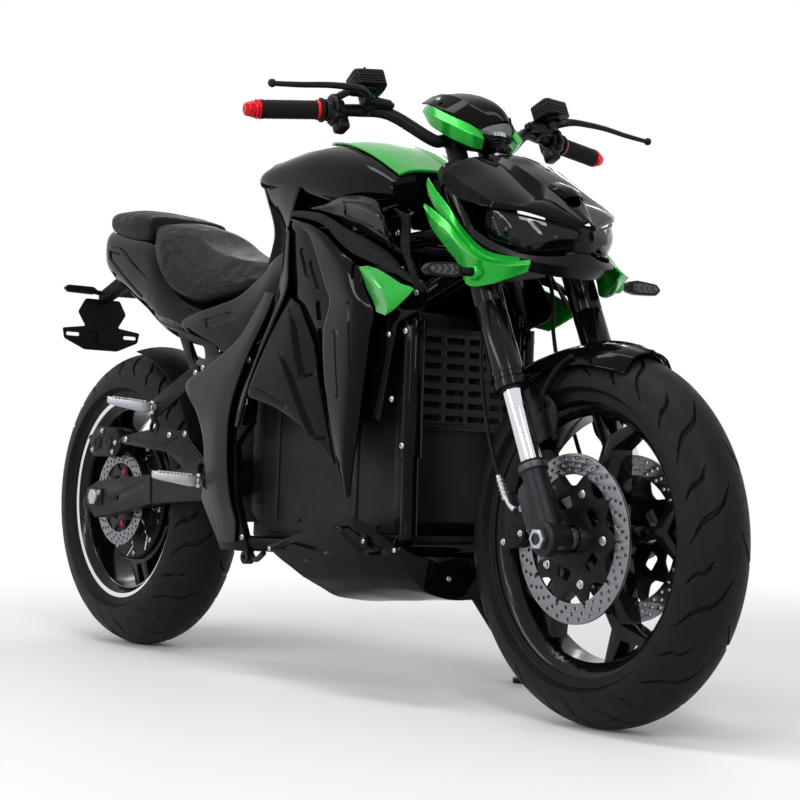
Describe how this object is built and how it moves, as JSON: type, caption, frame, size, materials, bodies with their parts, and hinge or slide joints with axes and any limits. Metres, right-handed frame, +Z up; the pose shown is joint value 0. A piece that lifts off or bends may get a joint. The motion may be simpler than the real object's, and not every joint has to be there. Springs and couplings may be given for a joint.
{
  "type": "electric street motorcycle",
  "caption": "Electric street motorcycle with hub motor, raked fork that steers, free wheels, side stand, sculpted tank cover, layered side panels and stepped two-part seat.",
  "frame": {"origin": "middle of the bounding box on the ground", "axes": "+X forward, +Y to the rider's left, +Z up"},
  "size_m": [2.0957, 0.8422, 1.094],
  "materials": {
    "battery_case": "satin black",
    "black_tube": "satin black paint",
    "bright_fork": "polished hard chrome",
    "cast_grey": "satin grey cast",
    "damper": "black",
    "disc_steel": "ground steel",
    "gloss_body": "high gloss black",
    "green_body": "bright green pearl gloss",
    "grey_body": "dark grey gloss",
    "hose": "black hose",
    "lamp_red": "red lens",
    "lamp_smoke": "smoked lens",
    "matte_trim": "matte black",
    "peg_metal": "bare cast aluminium",
    "rim_black": "gloss black wheel paint",
    "rubber_grip": "black rubber",
    "seat_cover": "matte black vinyl",
    "steel": "plated steel",
    "tyre": "black tyre rubber"
  },
  "bodies": {
    "chassis": {"frame": "black_tube", "battery_box": "battery_case", "controller_cover": "matte_trim", "tank_shell": "gloss_body", "tank_neck": "gloss_body", "tank_top": "green_body", "rider_seat": "seat_cover", "pillion_seat": "seat_cover", "tail_cowl": "gloss_body", "rear_lamps": "lamp_red", "plate_bracket": "matte_trim", "side_fairings": "gloss_body", "side_covers": "gloss_body", "side_tips": "green_body", "air_scoops": "matte_trim", "frame_covers": "grey_body", "side_liners": "matte_trim", "belly_pan": "gloss_body", "swingarm": "black_tube", "rear_axle": "steel", "rear_caliper": "black_tube", "rear_shock": "damper", "hugger": "matte_trim", "peg_plates": "black_tube", "footpegs": "peg_metal"},
    "steering": {"fork_tubes": "black_tube", "fork_inners": "bright_fork", "fork_lowers": "cast_grey", "front_axle": "steel", "triple_clamps": "black_tube", "handlebar": "black_tube", "grips": "rubber_grip", "levers": "black_tube", "switchgear": "matte_trim", "head_cowl": "gloss_body", "head_wings": "green_body", "front_lamps": "lamp_smoke", "instrument_pod": "gloss_body", "front_fender": "gloss_body", "front_calipers": "black_tube", "brake_hoses": "hose"},
    "front_wheel": {"front_rim": "rim_black", "front_tyre": "tyre", "front_discs": "disc_steel"},
    "rear_wheel": {"rear_rim": "rim_black", "rear_tyre": "tyre", "hub_motor": "rim_black", "rear_disc": "disc_steel"},
    "side_stand": {"side_stand": "black_tube"}
  },
  "joints": [
    {"name": "steer", "type": "hinge", "parent": "chassis", "child": "steering", "pos_m": [0.47478, -0.00912, 0.81829], "axis": [-0.4147, 0.0397, 0.9091], "range_deg": [-28, 32]},
    {"name": "front_wheel_spin", "type": "hinge", "parent": "steering", "child": "front_wheel", "pos_m": [0.74798, -0.03292, 0.29986], "axis": [0.0318, 0.9991, -0.0291], "continuous": true},
    {"name": "rear_wheel_spin", "type": "hinge", "parent": "chassis", "child": "rear_wheel", "pos_m": [-0.727, -0.03084, 0.32079], "axis": [0, 0.999, -0.0436], "continuous": true},
    {"name": "side_stand_fold", "type": "hinge", "parent": "chassis", "child": "side_stand", "pos_m": [0.1305, 0.14937, 0.22985], "axis": [0, 0.9763, 0.2164], "range_deg": [0, 112]}
  ]
}
